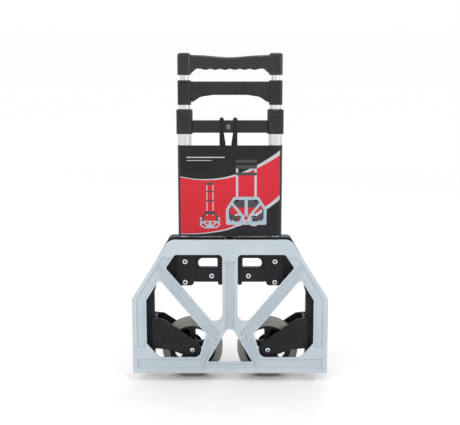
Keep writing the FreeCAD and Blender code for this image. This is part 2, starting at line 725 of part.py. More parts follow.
# ---------------------------------------------------------------- toe plate
def toe_cells():
    """Recessed cells between the ribs of the toe plate's outer face, left half first."""
    base = Vector(-160.45, 267.6, 0)
    run, rise = Vector(0.638, -0.770, 0), Vector(0.770, 0.638, 0)

    def strip(out, reach, radius=0):
        p = base + rise * out + run * reach
        return (p.x, p.y, radius)
    outer_strip = outline((-228.5, 84, 2), (-208.5, 84, 2), (-208.3, 206.9), (-172.5, 264.0, 4),
                          strip(-11.5, 200, 2), strip(-1.5, 200, 2), strip(-1.5, -27), (-183, 283.5),
                          (-228.5, 208.5))
    upper_strip = outline(strip(1.5, -27), strip(11.5, -11.6), strip(11.5, 200, 2), strip(1.5, 200, 2))
    corner_strip = outline((-180.2, 288.5), (-158.9, 287.9), (-142.5, 313, 1), (-163, 313, 3))
    foot_strip = outline((-228.5, 31, 2), (-72.2, 31, 2), (-46.8, 106, 2), (-54, 112, 2), (-72.5, 57.5, 5),
                         (-78, 56, 3), (-228.5, 56, 2))
    middle_strip = outline((-11, 301.6, 2), (-11, 134), (-1.5, 138), (-1.5, 301.6, 2))
    centre = outline((-68.6, 31, 2), (68.6, 31, 2), (44, 105.5, 2), (24, 112, 4), (61.9, 44.5, 3),
                     (-61.9, 44.5, 3), (-24, 112, 4), (-44, 105.5, 2))
    return both(outer_strip, upper_strip, corner_strip, foot_strip, middle_strip) + [centre]


def toe_plate():
    """Ribbed toe plate with its windows and the two ears that hinge on the legs."""
    front, load, floor_y = -d.toe_front_y, -d.toe_load_y, -d.toe_floor_y
    half, low, high = d.toe_half_width, d.toe_low, d.toe_high
    body_outline = outline((-half, low, 3), (half, low, 3), (half, 209, 12), (148, high, 28),
                           (-148, high, 28), (-half, 209, 12))
    window_a = outline((-134, 319.5, 9), (-156.3, 286, 6), (-18.8, 121, 18), (-18.8, 319.5, 10))
    window_b = outline((-172, 258, 8), (-205, 205, 3), (-205, 95, 3), (-175, 59.5, 3), (-76, 59.5, 16),
                       (-59, 121, 4))
    window_c = outline((-56, 48, 3), (56, 48, 3), (0, 146, 13.6))
    made = Body("toe_plate")
    made.pad("XZ", front, load, body_outline, *both(window_a, window_b), window_c)
    for cell in toe_cells():
        made.pocket("XZ", front - 1, floor_y, cell)
    made.round_edges(1.0, lambda e: e.BoundBox.YMax < -float(d.toe_front_y.value) + 0.01
                     and max(abs(e.BoundBox.XMin), abs(e.BoundBox.XMax)) > 239)
    lug = outline((floor_y + 1, d.hinge_z - 16), (16, d.hinge_z - 16, 15.9), (16, d.hinge_z + 16, 15.9),
                  (floor_y + 1, d.hinge_z + 22))
    for side in (-1, 1):
        ends = sorted((side * d.ear_inner_x, side * d.ear_outer_x), key=lambda s: s.value)
        made.pad("YZ", ends[0], ends[1], lug)
        made.pocket("YZ", ends[0] - 1, ends[1] + 1, circle(0, d.hinge_z, d.axle_radius + d.play))
    return made


# ---------------------------------------------------------------- bungee cord and card sleeve
def cord_hook(name, x, inward):
    """Flat hook over the low crossbar, with a rounded top. Its foot flares inward, towards the other
    hook: inward is 1 for +X and -1 for -X."""
    bar, thick, crown = d.bar_half_depth, d.hook_thick, d.bar_high + d.hook_thick
    foot, flare_low, flare_high = 556.0, 586.0, 612.0
    tip = d.hook_top_width * 0.5
    outside, inside, spare = x - inward * tip, x + inward * tip, 1.0
    flared = x + inward * (d.hook_foot_width - tip)
    ends = sorted((outside, flared), key=lambda size: size.value)
    made = Body(name)
    made.pad("YZ", *ends, outline(
        (-bar - thick, foot, 2), (-bar, foot, 2), (-bar, d.bar_high), (bar, d.bar_high),
        (bar, d.bar_low + 8), (bar + thick, d.bar_low + 8, 3), (bar + thick, crown, 6),
        (-bar - thick, crown, 6)))
    made.pocket("XZ", -bar - thick - spare, bar + thick + spare,
                box(ends[0] - spare, foot - spare, ends[1] + spare, crown + spare),
                outline((outside, foot), (flared, foot), (flared, flare_low, 20), (inside, flare_high, 20),
                        (inside, crown, 4.5), (outside, crown, 4.5)))
    return made


def cord_parts():
    """Bungee cord from hook to hook, round the anchor stud. Its ends reach 10 mm into the hooks."""
    radius, bend, z0, y = (float(s.value) for s in (d.cord_radius, d.cord_bend, d.anchor_z, d.cord_y))
    top = 566.0
    centre = Vector(0, -y, z0)

    def leave(x, side):
        """Where the straight run up to (x, top) leaves the bend on the given side."""
        away = Vector(x, -y, top) - centre
        turn = math.acos(bend / away.Length)
        angle = math.atan2(away.z, away.x) + side * turn
        return centre + Vector(math.cos(angle), 0, math.sin(angle)) * bend
    left_x, right_x = -float(d.hook_left_x.value), float(d.hook_right_x.value)
    left, right = leave(left_x, 1), leave(right_x, -1)
    ends = Vector(left_x, -y, top), Vector(right_x, -y, top)
    turn = Part.Arc(left, centre - Vector(0, 0, bend), right).toShape()
    path = Part.Wire([Part.makeLine(ends[0], left), turn, Part.makeLine(right, ends[1])])
    profile = Part.Wire(Part.makeCircle(radius, ends[0], left - ends[0]))
    cord = path.makePipeShell([profile], True, False)
    made = doc.addObject("Part::Feature", "bungee_cord_whole")
    made.Shape = cord
    length = path.Length
    print("cord: radius %.2f, bend %.2f, length %.1f, volume ratio %.4f"
          % (radius, bend, length, cord.Volume / (math.pi * radius ** 2 * length)))
    for side, x, inward in (("left", -d.hook_left_x, 1), ("right", d.hook_right_x, -1)):
        hook = cord_hook(side + "_cord_hook", x, inward)
        socket = cylinder(side + "_cord_socket", "Z", x, -d.cord_y, 550, 5.4, 16)
        hole = doc.addObject("Part::Feature", side + "_cord_hole")
        hole.Shape = cord
        body = fuse(side + "_hook_with_socket", hook.body, socket)
        node(side + "_cord_hook", cut(side + "_hook_bored", body, hole))
    node("bungee_cord", made)


def card_sleeve():
    """Printed card wrapped round the fronts of the outer tubes, open at the back."""
    x, r, thick = d.tube_x, d.outer_tube_radius, d.sleeve_thick
    half, outer = x + r, x + r + thick
    flap = x - 14
    small, large = 0.99 * r, 0.99 * r + thick
    return Body("card_sleeve").pad("XY", d.sleeve_low, d.sleeve_high, outline(
        (-flap, r), (-half, r, small), (-half, -r, small), (half, -r, small), (half, r, small), (flap, r),
        (flap, r + thick), (outer, r + thick, large), (outer, -r - thick, large),
        (-outer, -r - thick, large), (-outer, r + thick, large), (-flap, r + thick)))


# ---------------------------------------------------------------- build, check and export
wheel_parts()
axle_parts()
arm_parts()
leg_parts()
bracket_parts()
tube_parts()
crossbar_parts()
node("toe_plate", toe_plate())
cord_parts()
node("card_sleeve", card_sleeve())
doc.recompute()

for made in doc.Objects:
    assert "Invalid" not in made.State and "Error" not in made.State, (made.Name, made.State)
os.makedirs("parts", exist_ok=True)
for label, made in NODES.items():
    shape = made.Shape
    assert not shape.isNull() and shape.isValid() and shape.Volume > 1.0, label
    shape.exportStep("parts/%s.step" % label)
    b = shape.BoundBox
    print("%-22s solids %2d  volume %9.0f  x %7.1f %7.1f  y %6.1f %6.1f  z %6.1f %6.1f"
          % (label, len(shape.Solids), shape.Volume, b.XMin, b.XMax, b.YMin, b.YMax, b.ZMin, b.ZMax))
print("%d nodes" % len(NODES))
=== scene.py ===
"""Looks of the folding hand truck: materials for the CAD pieces, the printed card's artwork, the woven
cord, the floor, the lights and the camera. Everything is in metres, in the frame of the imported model.
"""
import bpy
import json
import math
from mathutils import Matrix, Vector


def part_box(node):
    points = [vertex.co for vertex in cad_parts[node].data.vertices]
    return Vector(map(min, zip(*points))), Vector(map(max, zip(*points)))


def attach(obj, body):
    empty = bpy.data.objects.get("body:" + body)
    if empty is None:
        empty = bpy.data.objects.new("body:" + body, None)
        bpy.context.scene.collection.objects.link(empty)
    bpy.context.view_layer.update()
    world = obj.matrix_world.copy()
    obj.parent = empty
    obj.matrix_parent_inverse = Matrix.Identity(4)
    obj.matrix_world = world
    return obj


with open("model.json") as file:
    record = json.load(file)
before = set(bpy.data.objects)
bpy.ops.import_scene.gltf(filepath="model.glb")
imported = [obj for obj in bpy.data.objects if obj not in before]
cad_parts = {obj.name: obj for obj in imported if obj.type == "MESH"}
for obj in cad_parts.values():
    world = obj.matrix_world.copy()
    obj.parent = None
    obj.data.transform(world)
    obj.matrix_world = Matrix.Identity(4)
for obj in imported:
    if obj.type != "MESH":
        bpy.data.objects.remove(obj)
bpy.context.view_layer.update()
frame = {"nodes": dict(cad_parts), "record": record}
SIDES = (("left", -1), ("right", 1))     # name, and the sign of x
TUBE_X = 0.109                           # the tubes' axes stand this far from the middle
PLATE_RECESS_Y = (-0.0435, -0.0390)      # from the toe plate's ribs to just under its recessed cells, over which painted shade darkens the coat
SCREW_SOCKET_Y = (-0.0239, -0.0234)      # rim to floor of the drive in a bracket screw's head, over which painted shade darkens it
BOLT_SOCKET_Y = (-0.0321, -0.0318)       # the same in an axle bolt's head


# ---------------------------------------------------------------- colour and node helpers
def colour(red, green, blue):
    """A screen colour from 0 to 255 as linear RGBA."""
    def linear(c):
        c /= 255
        return c / 12.92 if c <= 0.04045 else ((c + 0.055) / 1.055) ** 2.4
    return (linear(red), linear(green), linear(blue), 1.0)


class Look:
    """A material built round one Principled shader, with short calls for the nodes that feed it."""

    def __init__(self, name, base, roughness, **settings):
        self.material = bpy.data.materials.new(name)
        self.material.use_nodes = True
        self.tree = self.material.node_tree
        self.shader = self.tree.nodes["Principled BSDF"]
        self.feed(base, self.shader.inputs["Base Color"])
        self.feed(roughness, self.shader.inputs["Roughness"])
        for key, value in settings.items():
            self.shader.inputs[key.replace("_", " ").title().replace("Ior", "IOR")].default_value = value

    def feed(self, value, socket):
        """Links a node's output to a socket, or sets the socket to a constant."""
        if isinstance(value, bpy.types.NodeSocket):
            self.tree.links.new(value, socket)
        elif value is not None:
            socket.default_value = value

    def node(self, kind, inputs=(), **properties):
        made = self.tree.nodes.new("ShaderNode" + kind)
        for key, value in properties.items():
            setattr(made, key, value)
        for key, value in dict(inputs).items():
            self.feed(value, made.inputs[key])
        return made

    @property
    def place(self):
        """Where a point is in the row frame at rest; it moves with its piece."""
        return self.node("TexCoord").outputs["Object"]

    def math(self, operation, a, b=None, c=None):
        made = self.node("Math", operation=operation)
        for value, socket in zip((a, b, c), made.inputs):
            self.feed(value, socket)
        return made.outputs[0]

    def axes(self, vector=None):
        made = self.node("SeparateXYZ", {0: vector or self.place})
        return made.outputs[0], made.outputs[1], made.outputs[2]

    def stretched(self, x, y, z):
        """The place scaled apart along the three axes, for grain that runs one way."""
        return self.node("Mapping", {"Vector": self.place, "Scale": (x, y, z)}).outputs[0]

    def noise(self, scale, detail, vector=None):
        inputs = {"Vector": vector or self.place, "Scale": scale, "Detail": detail, "Roughness": 0.55}
        return self.node("TexNoise", inputs).outputs[0]

    def cells(self, scale):
        return self.node("TexVoronoi", {"Vector": self.place, "Scale": scale}).outputs["Distance"]

    def fit(self, value, low, high, to_low=0.0, to_high=1.0, smooth=True):
        """Maps value from low..high to to_low..to_high."""
        made = self.node("MapRange", interpolation_type="SMOOTHSTEP" if smooth else "LINEAR")
        for number, socket in zip((value, low, high, to_low, to_high), made.inputs):
            self.feed(number, socket)
        return made.outputs[0]

    def mix(self, factor, a, b):
        made = self.node("Mix", data_type="RGBA", clamp_factor=True)
        self.feed(factor, made.inputs[0])
        self.feed(a, made.inputs[6])
        self.feed(b, made.inputs[7])
        return made.outputs[2]

    def edges(self, radius):
        """(mask of edges and corners, softened normal)."""
        soft = self.node("Bevel", {"Radius": radius}, samples=6).outputs[0]
        flat = self.node("NewGeometry").outputs["Normal"]
        dot = self.node("VectorMath", {0: soft, 1: flat}, operation="DOT_PRODUCT").outputs["Value"]
        return self.fit(dot, 0.995, 0.86), soft

    def upward(self):
        """1 on faces that look up, 0 on the rest."""
        normal = self.node("NewGeometry").outputs["Normal"]
        return self.fit(self.axes(normal)[2], 0.4, 0.95)

    def bump(self, height, strength, distance, normal=None):
        inputs = {"Height": height, "Strength": strength, "Distance": distance}
        if normal is not None:
            inputs["Normal"] = normal
        return self.node("Bump", inputs).outputs[0]

    def base(self, value):
        self.feed(value, self.shader.inputs["Base Color"])

    def rough(self, value):
        self.feed(value, self.shader.inputs["Roughness"])

    def normal(self, value):
        self.feed(value, self.shader.inputs["Normal"])


# ---------------------------------------------------------------- materials
def toe_coat():
    """Pale blue-grey coat on cast aluminium: orange peel, soft mottling, painted shade in the recessed
    cells, and pale rubbed edges that are also a painted highlight.
    """
    look = Look("toe_coat", None, None, coat_weight=0.12, coat_roughness=0.35)
    edge_mask, soft = look.edges(0.0014)
    cloud = look.noise(9, 4)
    coat = look.mix(look.fit(cloud, 0.35, 0.65), colour(170, 183, 190), colour(178, 190, 197))
    depth = look.axes()[1]
    # painted shade: the coat darkens from the fronts of the ribs to the floors of the recessed cells and
    # behind
    shaded_recess = look.fit(depth, *PLATE_RECESS_Y)
    coat = look.mix(look.math("MULTIPLY", shaded_recess, 0.35), coat, colour(163, 177, 185))
    scuffs = look.fit(look.noise(60, 6, look.stretched(1, 1, 0.35)), 0.66, 0.80)
    coat = look.mix(look.math("MULTIPLY", scuffs, 0.35), coat, colour(204, 210, 214))
    # pale edges and corners: partly rubbed wear, partly a painted highlight that draws the edges of the
    # cells and ribs
    edge_wear_and_highlight = look.math("MULTIPLY", edge_mask, look.fit(look.noise(140, 4), 0.30, 0.62))
    look.base(look.mix(look.math("MULTIPLY", edge_wear_and_highlight, 0.75), coat, colour(221, 226, 229)))
    look.rough(look.fit(look.noise(45, 3), 0.3, 0.7, 0.40, 0.54))
    peel = look.math("ADD", look.noise(700, 2), look.math("MULTIPLY", look.noise(130, 2), 0.6))
    look.normal(look.bump(peel, 0.16, 0.0004, soft))
    return look.material


def black_plastic(name, shade, rough_low, rough_high, grain, **settings):
    """Moulded black plastic with spark-eroded grain, a little dust on top and a painted highlight along
    its edges and corners.
    """
    look = Look(name, None, None, **settings)
    edge_mask, soft = look.edges(0.0015)
    light = [c * 1.5 + 0.002 for c in shade[:3]] + [1.0]
    body = look.mix(look.fit(look.noise(22, 4), 0.35, 0.7), shade, light)
    dust = look.math("MULTIPLY", look.upward(), look.fit(look.noise(90, 5), 0.42, 0.72))
    body = look.mix(look.math("MULTIPLY", dust, 0.15), body, colour(86, 87, 92))
    # painted highlight: edges and corners lightened, broken up by noise
    edge_wear_and_highlight = look.math("MULTIPLY", edge_mask, look.fit(look.noise(180, 4), 0.35, 0.65))
    look.base(look.mix(look.math("MULTIPLY", edge_wear_and_highlight, 0.75), body, colour(78, 80, 88)))
    look.rough(look.fit(look.noise(35, 4), 0.3, 0.7, rough_low, rough_high))
    pits = look.math("ADD", look.cells(1900), look.math("MULTIPLY", look.noise(900, 2), 0.7))
    look.normal(look.bump(pits, grain, 0.0002, soft))
    return look.material


def tube_aluminium():
    """Bright drawn aluminium: fine lines along the tube and faint handling marks."""
    look = Look("tube_aluminium", None, None, metallic=1.0)
    lines = look.noise(1, 3, look.stretched(1500, 1500, 14))
    look.base(look.mix(look.fit(lines, 0.35, 0.65), colour(196, 198, 201), colour(232, 233, 235)))
    smears = look.noise(30, 4)
    look.rough(look.math("ADD", look.fit(lines, 0.3, 0.7, 0.17, 0.28),
                         look.fit(smears, 0.45, 0.75, 0.0, 0.1)))
    look.normal(look.bump(lines, 0.12, 0.0001))
    return look.material


def zinc(name, shaded_recess=None):
    """Zinc plating: faint spangle and a slight blue cast. The optional range of y runs from the rim to the
    floor of a socket's drive, over which the zinc is darkened as painted shade."""
    look = Look(name, None, None, metallic=1.0)
    edge_mask, soft = look.edges(0.0006)
    patches = look.cells(420)
    plate = look.mix(look.fit(patches, 0.1, 0.6), colour(186, 194, 198), colour(214, 218, 219))
    plate = look.mix(look.math("MULTIPLY", edge_mask, 0.6), plate, colour(238, 240, 240))
    # painted shade: darker from the rim of the drive to its floor, and on all of the head behind that
    if shaded_recess:
        socket_shade = look.fit(look.axes()[1], *shaded_recess)
        plate = look.mix(socket_shade, plate, colour(44, 46, 52))
    look.base(plate)
    look.rough(look.fit(look.noise(300, 3), 0.3, 0.7, 0.24, 0.42))
    look.normal(look.bump(look.noise(900, 2), 0.1, 0.0001, soft))
    return look.material


def nylon():
    """Natural nylon washers and bushes: milky, with faint tool marks."""
    look = Look("nylon", None, None, subsurface_weight=0.15, subsurface_radius=(0.002, 0.002, 0.0015))
    look.base(look.mix(look.noise(60, 3), colour(214, 211, 200), colour(229, 227, 219)))
    look.rough(look.fit(look.noise(120, 2), 0.3, 0.7, 0.38, 0.52))
    look.normal(look.bump(look.noise(800, 2), 0.08, 0.0002))
    return look.material


def tyre_rubber(side):
    """Warm grey rubber: darker shoulders, moulding rings on the side walls and a speckle."""
    low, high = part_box(side + "_tyre")
    centre, radius = (low + high) / 2, (high.z - low.z) / 2
    look = Look(side + "_tyre_rubber", None, None, specular_ior_level=0.35)
    x, _, z = look.axes()
    out = look.math("SQRT", look.math("ADD", look.math("POWER", look.math("SUBTRACT", x, centre.x), 2.0),
                                      look.math("POWER", look.math("SUBTRACT", z, centre.z), 2.0)))
    tread = look.fit(out, radius - 0.0045, radius - 0.0008)
    rubber = look.mix(look.fit(look.noise(26, 4), 0.35, 0.65), colour(128, 127, 121), colour(143, 142, 136))
    rubber = look.mix(tread, look.mix(0.35, rubber, colour(104, 103, 100)), rubber)
    speck = look.fit(look.noise(1300, 2), 0.62, 0.74)
    rubber = look.mix(look.math("MULTIPLY", speck, 0.4), rubber, colour(104, 103, 100))
    look.base(rubber)
    look.rough(look.fit(look.noise(70, 3), 0.3, 0.7, 0.66, 0.84))
    rings = look.math("SINE", look.math("MULTIPLY", out, 2 * math.pi / 0.0022))
    from_wall = look.math("ABSOLUTE", look.math("SUBTRACT", out, radius - 0.0115))
    side_wall = look.fit(from_wall, 0.0032, 0.0040, 1, 0)
    height = look.math("ADD", look.math("MULTIPLY", rings, look.math("MULTIPLY", side_wall, 0.5)),
                       look.math("MULTIPLY", look.noise(1000, 3), 0.8))
    look.normal(look.bump(height, 0.35, 0.0003))
    return look.material


def cord_weave():
    """Black braided sleeve with pale tracer threads."""
    look = Look("cord_weave", None, 0.8, sheen_weight=0.25, sheen_roughness=0.6)
    x, y, z = look.axes()
    pitch = 2 * math.pi / 0.0034
    turn = look.math("MULTIPLY", look.math("ADD", x, y), 1.6)

    def thread(direction, frequency):
        return look.math("SINE", look.math("MULTIPLY", look.math(direction, z, turn), frequency))
    weave = look.math("MULTIPLY", thread("ADD", pitch), thread("SUBTRACT", pitch))
    tracer = look.fit(thread("ADD", pitch / 6), 0.93, 0.98)
    dark = look.mix(look.fit(weave, -0.6, 0.6), colour(24, 24, 27), colour(52, 52, 56))
    look.base(look.mix(look.math("MULTIPLY", tracer, 0.8), dark, colour(176, 176, 178)))
    fuzz = look.math("MULTIPLY", look.noise(2500, 2), 0.4)
    look.normal(look.bump(look.math("ADD", weave, fuzz), 0.5, 0.0004))
    return look.material


# ---------------------------------------------------------------- the printed card
CARD_LOW, CARD_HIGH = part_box("card_sleeve")
CARD_FACE = CARD_LOW.y
RED, INK, SILVER = colour(192, 32, 45), colour(9, 9, 14), colour(176, 178, 182)


def card_print():
    """Coated card: black, with a red band between two rising curves, each edged with a pale line."""
    look = Look("card_print", None, None, specular_ior_level=0.25, coat_weight=0.15, coat_roughness=0.12)
    x, y, z = look.axes()
    across = look.fit(x, CARD_LOW.x, CARD_HIGH.x, smooth=False)
    up = look.fit(z, CARD_LOW.z, CARD_HIGH.z, smooth=False)

    def curve(points):
        made = look.node("FloatCurve", {"Value": across})
        line = made.mapping.curves[0]
        line.points[0].location = points[0]
        line.points[1].location = points[-1]
        for point in points[1:-1]:
            line.points.new(*point)
        made.mapping.update()
        return made.outputs[0]
    top = curve([(0, 0.659), (0.30, 0.621), (0.57, 0.668), (0.76, 0.753), (1, 0.913)])
    foot = curve([(0, 0.028), (0.35, 0.052), (0.55, 0.118), (0.84, 0.329), (1, 0.480)])

    def above(line, margin):
        return look.math("GREATER_THAN", look.math("SUBTRACT", up, line), margin)
    edging = look.math("ADD", 0.008, look.math("MULTIPLY", look.math("POWER", across, 2.0), 0.045))
    in_line = look.math("SUBTRACT", above(foot, look.math("MULTIPLY", edging, -1.0)), above(top, edging))
    in_red = look.math("SUBTRACT", above(foot, 0.0), above(top, 0.0))
    front = look.math("LESS_THAN", y, CARD_FACE + 0.004)
    red = look.mix(look.fit(up, 0.05, 0.9), colour(186, 22, 36), RED)
    ink = look.mix(look.fit(look.noise(30, 2), 0.3, 0.7), INK, colour(15, 15, 20))
    face = look.mix(in_line, ink, SILVER)
    face = look.mix(in_red, face, red)
    board = look.mix(look.noise(400, 3), colour(150, 146, 138), colour(172, 168, 160))
    normal = look.node("NewGeometry").outputs["Normal"]
    inward = look.math("MULTIPLY", look.math("GREATER_THAN", look.axes(normal)[1], 0.5),
                       look.math("LESS_THAN", y, 0.0))
    outside = look.mix(front, ink, face)
    look.base(look.mix(inward, outside, board))
    look.rough(look.fit(look.noise(50, 3), 0.3, 0.7, 0.28, 0.42))
    ripple = look.math("ADD", look.noise(14, 2), look.math("MULTIPLY", look.noise(900, 2), 0.05))
    look.normal(look.bump(ripple, 0.25, 0.002))
    return look.material


def ink(name, tint, roughness):
    """Print on the card, with the faint screen of an offset press."""
    look = Look(name, None, None, specular_ior_level=0.25, coat_weight=0.15, coat_roughness=0.15)
    x, _, z = look.axes()
    pitch = 2 * math.pi / 0.0012
    dots = look.math("MULTIPLY", look.math("SINE", look.math("MULTIPLY", look.math("ADD", x, z), pitch)),
                     look.math("SINE", look.math("MULTIPLY", look.math("SUBTRACT", x, z), pitch)))
    pale = [c + (1 - c) * 0.08 for c in tint[:3]] + [1.0]
    look.base(look.mix(look.fit(dots, -0.5, 0.8), tint, pale))
    look.rough(look.fit(look.noise(80, 2), 0.3, 0.7, roughness, roughness + 0.1))
    return look.material


def mesh_from_curve(name, curve):
    """A mesh object from curve data, which is then removed."""
    holder = bpy.data.objects.new(name + "_curve", curve)
    bpy.context.scene.collection.objects.link(holder)
    bpy.context.view_layer.update()
    mesh = bpy.data.meshes.new_from_object(holder.evaluated_get(bpy.context.evaluated_depsgraph_get()))
    bpy.data.objects.remove(holder)
    bpy.data.curves.remove(curve)
    made = bpy.data.objects.new(name, mesh)
    bpy.context.scene.collection.objects.link(made)
    return made


def flat_curve(name, loops):
    """A filled 2D curve of closed straight-sided loops, the inner ones being holes."""
    curve = bpy.data.curves.new(name, "CURVE")
    curve.dimensions = "2D"
    curve.fill_mode = "BOTH"
    for loop in loops:
        line = curve.splines.new("POLY")
        line.points.add(len(loop) - 1)
        for point, (x, z) in zip(line.points, loop):
            point.co = (x, z, 0, 1)
        line.use_cyclic_u = True
    return curve


def printed(name, loops, material, layer=1):
    """A thin raised print on the card's face: closed loops of (x, z), the first one outside."""
    thick = 0.00004
    curve = flat_curve(name, loops)
    curve.extrude = thick
    made = mesh_from_curve(name, curve)
    y = CARD_FACE - thick * 1.5 * layer
    for vertex in made.data.vertices:
        x, z, out = vertex.co
        vertex.co = (x, y - out, z)
    made.data.flip_normals()
    made.data.materials.append(material)
    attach(made, "frame")


def rounded(corners, radius=0.0, steps=5):
    """The corners as a loop, each rounded by the same radius."""
    if not radius:
        return corners
    loop = []
    points = [Vector(c) for c in corners]
    for i, corner in enumerate(points):
        back, ahead = (points[i - 1] - corner), (points[(i + 1) % len(points)] - corner)
        reach = min(radius, back.length * 0.45, ahead.length * 0.45)
        start, end = corner + back.normalized() * reach, corner + ahead.normalized() * reach
        for k in range(steps + 1):
            s = k / steps
            loop.append(tuple(start * (1 - s) ** 2 + corner * (2 * s * (1 - s)) + end * s ** 2))
    return loop


def round_loop(x, z, radius, steps=40):
    """A circle as a loop."""
    angles = [2 * math.pi * i / steps for i in range(steps)]
    return [(x + radius * math.cos(a), z + radius * math.sin(a)) for a in angles]


def bar(x0, z0, x1, z1, radius=0.0):
    """An upright rectangle as a loop."""
    return rounded([(x0, z0), (x1, z0), (x1, z1), (x0, z1)], radius)


class Picture:
    """A little truck printed on the card. Its parts are given in metres of the real truck, (x, z) from the
    middle of its foot, and are printed at scale round a centre line, above a base line."""

    def __init__(self, name, centre, base, scale):
        self.name, self.centre, self.base, self.scale = name, centre, base, scale

    def at(self, x, z):
        return (self.centre + x * self.scale, self.base + z * self.scale)

    def shape(self, points, radius, sign=1):
        """The points as a loop with corners rounded by radius, in metres of the card; sign -1 mirrors it."""
        return rounded([self.at(sign * x, z) for x, z in points], radius)

    def pair(self, points, radius):
        """The shape mirrored to the left, and as given."""
        return [self.shape(points, radius, sign) for _, sign in SIDES]

    def turned(self, points, radius, sign):
        """The shape on one side, with its points run the same way round on both."""
        return rounded([self.at(sign * x, z) for x, z in points][::-sign], radius)

    def bar(self, x0, z0, x1, z1, radius=0.0):
        return bar(*self.at(x0, z0), *self.at(x1, z1), radius)

    def wire(self, x, half, low, high, radius=0.0):
        """An upright bar whose middle is at x."""
        return self.bar(x - half, low, x + half, high, radius)

    def ring(self, x, z, outer, inner):
        centre = self.at(x, z)
        return [round_loop(*centre, outer * self.scale), round_loop(*centre, inner * self.scale)]

    def put(self, name, loops, material, layer):
        printed("card_%s_%s" % (self.name, name), loops, material, layer)


def folded_truck(pale, grey, dark):
    """The truck folded, seen from the front."""
    art = Picture("folded", 0.0394, CARD_LOW.z + 0.0235, 0.205)
    for side, sign in SIDES:
        art.put("tube_" + side, [art.wire(sign * TUBE_X, 0.013, 0.30, 0.72)], pale, 1)
    for label, low, high in (("low", 0.610, 0.645), ("high", 0.690, 0.732), ("grip", 0.760, 0.795)):
        art.put("bar_" + label, [art.bar(-0.125, low, 0.125, high, 0.003)], dark, 2)
    bracket = [(-0.20, 0.24), (-0.02, 0.225), (0.02, 0.225), (0.20, 0.24), (0.147, 0.34), (-0.147, 0.34)]
    art.put("bracket", [art.shape(bracket, 0.003)], dark, 1)
    fork = [(0.192, 0.155), (0.165, 0.152), (0.085, 0.095), (0.10, 0.058), (0.15, 0.075), (0.192, 0.08)]
    for side, sign in SIDES:
        hub = sign * 0.0935, 0.078
        art.put("leg_" + side, [art.wire(sign * 0.2, 0.013, 0.05, 0.26)], dark, 1)
        art.put("tyre_" + side, art.ring(*hub, 0.075, 0.055), pale, 1)
        art.put("rim_" + side, art.ring(*hub, 0.054, 0.030), dark, 1)
        art.put("fork_" + side, [art.turned(fork, 0.002, sign)], dark, 2)
    plate = [(-0.24, 0.02), (0.24, 0.02), (0.24, 0.209), (0.148, 0.356), (-0.148, 0.356), (-0.24, 0.209)]
    upper = [(0.134, 0.32), (0.156, 0.286), (0.019, 0.121), (0.019, 0.32)]
    lower = [(0.172, 0.258), (0.205, 0.205), (0.205, 0.095), (0.175, 0.06), (0.076, 0.06), (0.059, 0.121)]
    middle = [(-0.056, 0.048), (0.056, 0.048), (0, 0.14)]
    art.put("plate", [art.shape(plate, 0.004)] + art.pair(upper, 0.002) + art.pair(lower, 0.0015)
            + [art.shape(middle, 0.0015)], grey, 3)


def open_truck(pale, grey, dark):
    """The truck unfolded: tall narrow handle, legs apart, wheels outside, plate folded down."""
    art = Picture("open", -0.0485, CARD_LOW.z + 0.033, 0.086)
    leg = [(0.06, 0.32), (0.12, 0.32), (0.22, 0.20), (0.22, 0.02), (0.17, 0.02), (0.17, 0.17)]
    for side, sign in SIDES:
        art.put("rail_" + side, [art.wire(sign * 0.085, 0.012, 0.20, 1.10)], pale, 1)
        art.put("leg_" + side, [art.turned(leg, 0.001, sign)], dark, 2)
        art.put("wheel_" + side, [art.wire(sign * 0.255, 0.025, -0.02, 0.15, 0.0018)], pale, 1)
        art.put("rim_" + side, [art.wire(sign * 0.255, 0.010, 0.02, 0.11, 0.0008)], dark, 2)
    for label, low, high in (("foot", 0.24, 0.33), ("low", 0.61, 0.65), ("high", 0.87, 0.91),
                             ("grip", 1.08, 1.14)):
        art.put("bar_" + label, [art.bar(-0.105, low, 0.105, high, 0.0012)], dark, 2)
    plate = [(-0.19, 0.05), (-0.30, -0.07), (-0.17, -0.16), (0.17, -0.16), (0.30, -0.07), (0.19, 0.05)]
    inner = [(0.03, 0.025), (0.15, 0.025), (0.05, -0.08)]
    outer = [(0.20, 0.0), (0.25, -0.065), (0.15, -0.13), (0.09, -0.10)]
    art.put("plate", [art.shape(plate, 0.0015)] + art.pair(inner, 0.0008) + art.pair(outer, 0.0008), grey, 3)


def card_art():
    """Two little pictures of a truck of this kind, and two plain rules where such a card has its heading."""
    inks = pale, _, _ = (ink("ink_pale", SILVER, 0.3), ink("ink_grey", colour(150, 168, 180), 0.3),
                         ink("ink_dark", colour(34, 34, 38), 0.3))
    folded_truck(*inks)
    open_truck(*inks)
    left, top = CARD_LOW.x + 0.022, CARD_HIGH.z
    printed("card_rule_long", [bar(left, top - 0.030, left + 0.092, top - 0.0275)], pale)
    printed("card_rule_short", [bar(left, top - 0.037, left + 0.060, top - 0.0355)], pale)


# ---------------------------------------------------------------- extra pieces
SINK = 0.00002    # a raised piece starts this far inside its face, so that no gap shows


def raised(name, loops, face_y, height, material, body, soft=0.0002):
    """A flat raised piece on a face that looks towards -Y: closed loops of (x, z), the first one outside.
    soft is the radius of its edges."""
    curve = flat_curve(name, loops)
    curve.extrude = height / 2 - soft
    curve.bevel_depth = soft
    curve.bevel_resolution = 2
    curve.offset = -soft
    made = mesh_from_curve(name, curve)
    for vertex in made.data.vertices:
        x, z, out = vertex.co
        vertex.co = (x, face_y - height / 2 + SINK - out, z)
    made.data.flip_normals()
    made.data.materials.append(material)
    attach(made, body)


